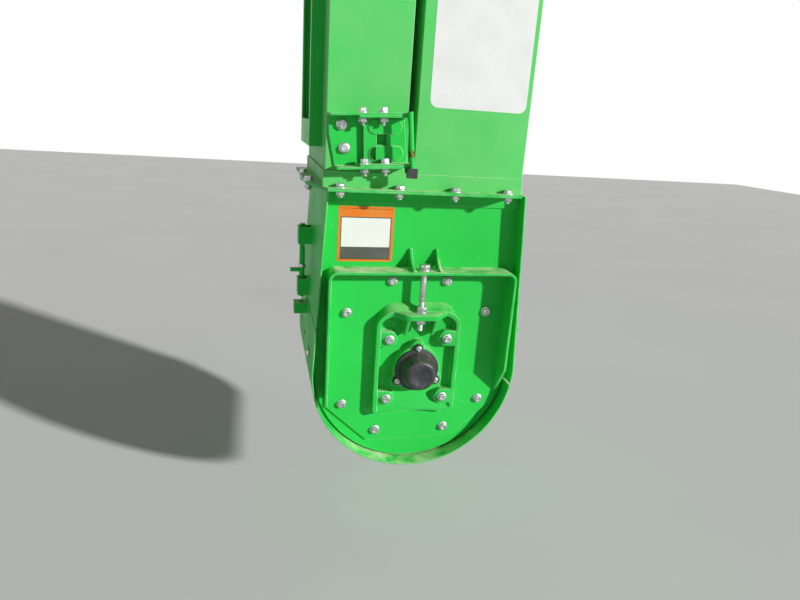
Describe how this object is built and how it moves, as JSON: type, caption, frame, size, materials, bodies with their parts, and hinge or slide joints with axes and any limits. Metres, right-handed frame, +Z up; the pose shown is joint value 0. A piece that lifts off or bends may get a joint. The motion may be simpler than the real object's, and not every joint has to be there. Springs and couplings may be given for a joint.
{
  "type": "clean grain elevator of a combine harvester",
  "caption": "Paddle-chain grain elevator with a round boot, twin sheet legs, arched head, clean-out door and inspection lid.",
  "frame": {"origin": "centre of the auger inlet flange's outer face, on the axis of the lower shaft", "axes": "+X along the machine towards its rear, +Y out of the inlet flange into the machine, +Z up along the legs"},
  "size_m": [0.5617, 0.5143, 3.0608],
  "materials": {
    "green_sheet": "satin enamel on folded sheet",
    "green_cast": "satin enamel on a sand casting",
    "zinc": "bright zinc plate",
    "steel": "oiled steel",
    "black_plastic": "moulded plastic",
    "rubber": "moulded paddle rubber"
  },
  "bodies": {
    "frame": {"boot_front_wall": "green_sheet", "boot_back_wall": "green_sheet", "boot_left_wall": "green_sheet", "boot_right_wall": "green_sheet", "inlet_ring": "green_sheet", "cover_plate": "green_sheet", "guard_frame": "green_sheet", "boot_flange": "green_sheet", "leg_flange": "green_sheet", "collar": "green_sheet", "return_leg": "green_sheet", "carrying_leg": "green_sheet", "side_channel": "green_sheet", "leg_bracket": "green_sheet", "slide_plate": "green_sheet", "latch_guides": "green_sheet", "latch_rod": "green_sheet", "prop_rod": "green_sheet", "boot_hinge": "green_sheet", "leg_top_flange": "green_sheet", "head_flange": "green_sheet", "head_shell": "green_sheet", "head_front_wall": "green_sheet", "head_back_wall": "green_sheet", "discharge_throat": "green_sheet", "discharge_flange": "green_sheet", "lid_hinge": "green_sheet", "machine_bracket_low": "green_sheet", "machine_bracket_high": "green_sheet", "bearing_carrier": "green_cast", "head_bearing_front": "green_cast", "head_bearing_back": "green_cast", "take_up_bolt": "zinc", "boot_hinge_pin": "zinc", "lid_hinge_pin": "zinc", "lower_shaft": "steel", "head_shaft": "steel", "chain_loop": "steel", "bearing_cap": "black_plastic", "head_bearing_cap": "black_plastic", "prop_foot": "black_plastic", "paddles": "rubber"},
    "cleanout_door": {"cleanout_door": "green_sheet", "door_hinge": "green_sheet", "latch_lug": "green_sheet"},
    "head_lid": {"head_lid": "green_sheet", "lid_straps": "green_sheet"}
  },
  "joints": [
    {"name": "cleanout_swing", "type": "hinge", "parent": "frame", "child": "cleanout_door", "pos_m": [0.2277, 0, -0.042], "axis": [0, -1, 0], "range_deg": [0, 90]},
    {"name": "lid_swing", "type": "hinge", "parent": "frame", "child": "head_lid", "pos_m": [0.2155, 0, 2.59179], "axis": [0, -1, 0], "range_deg": [0, 110]}
  ]
}
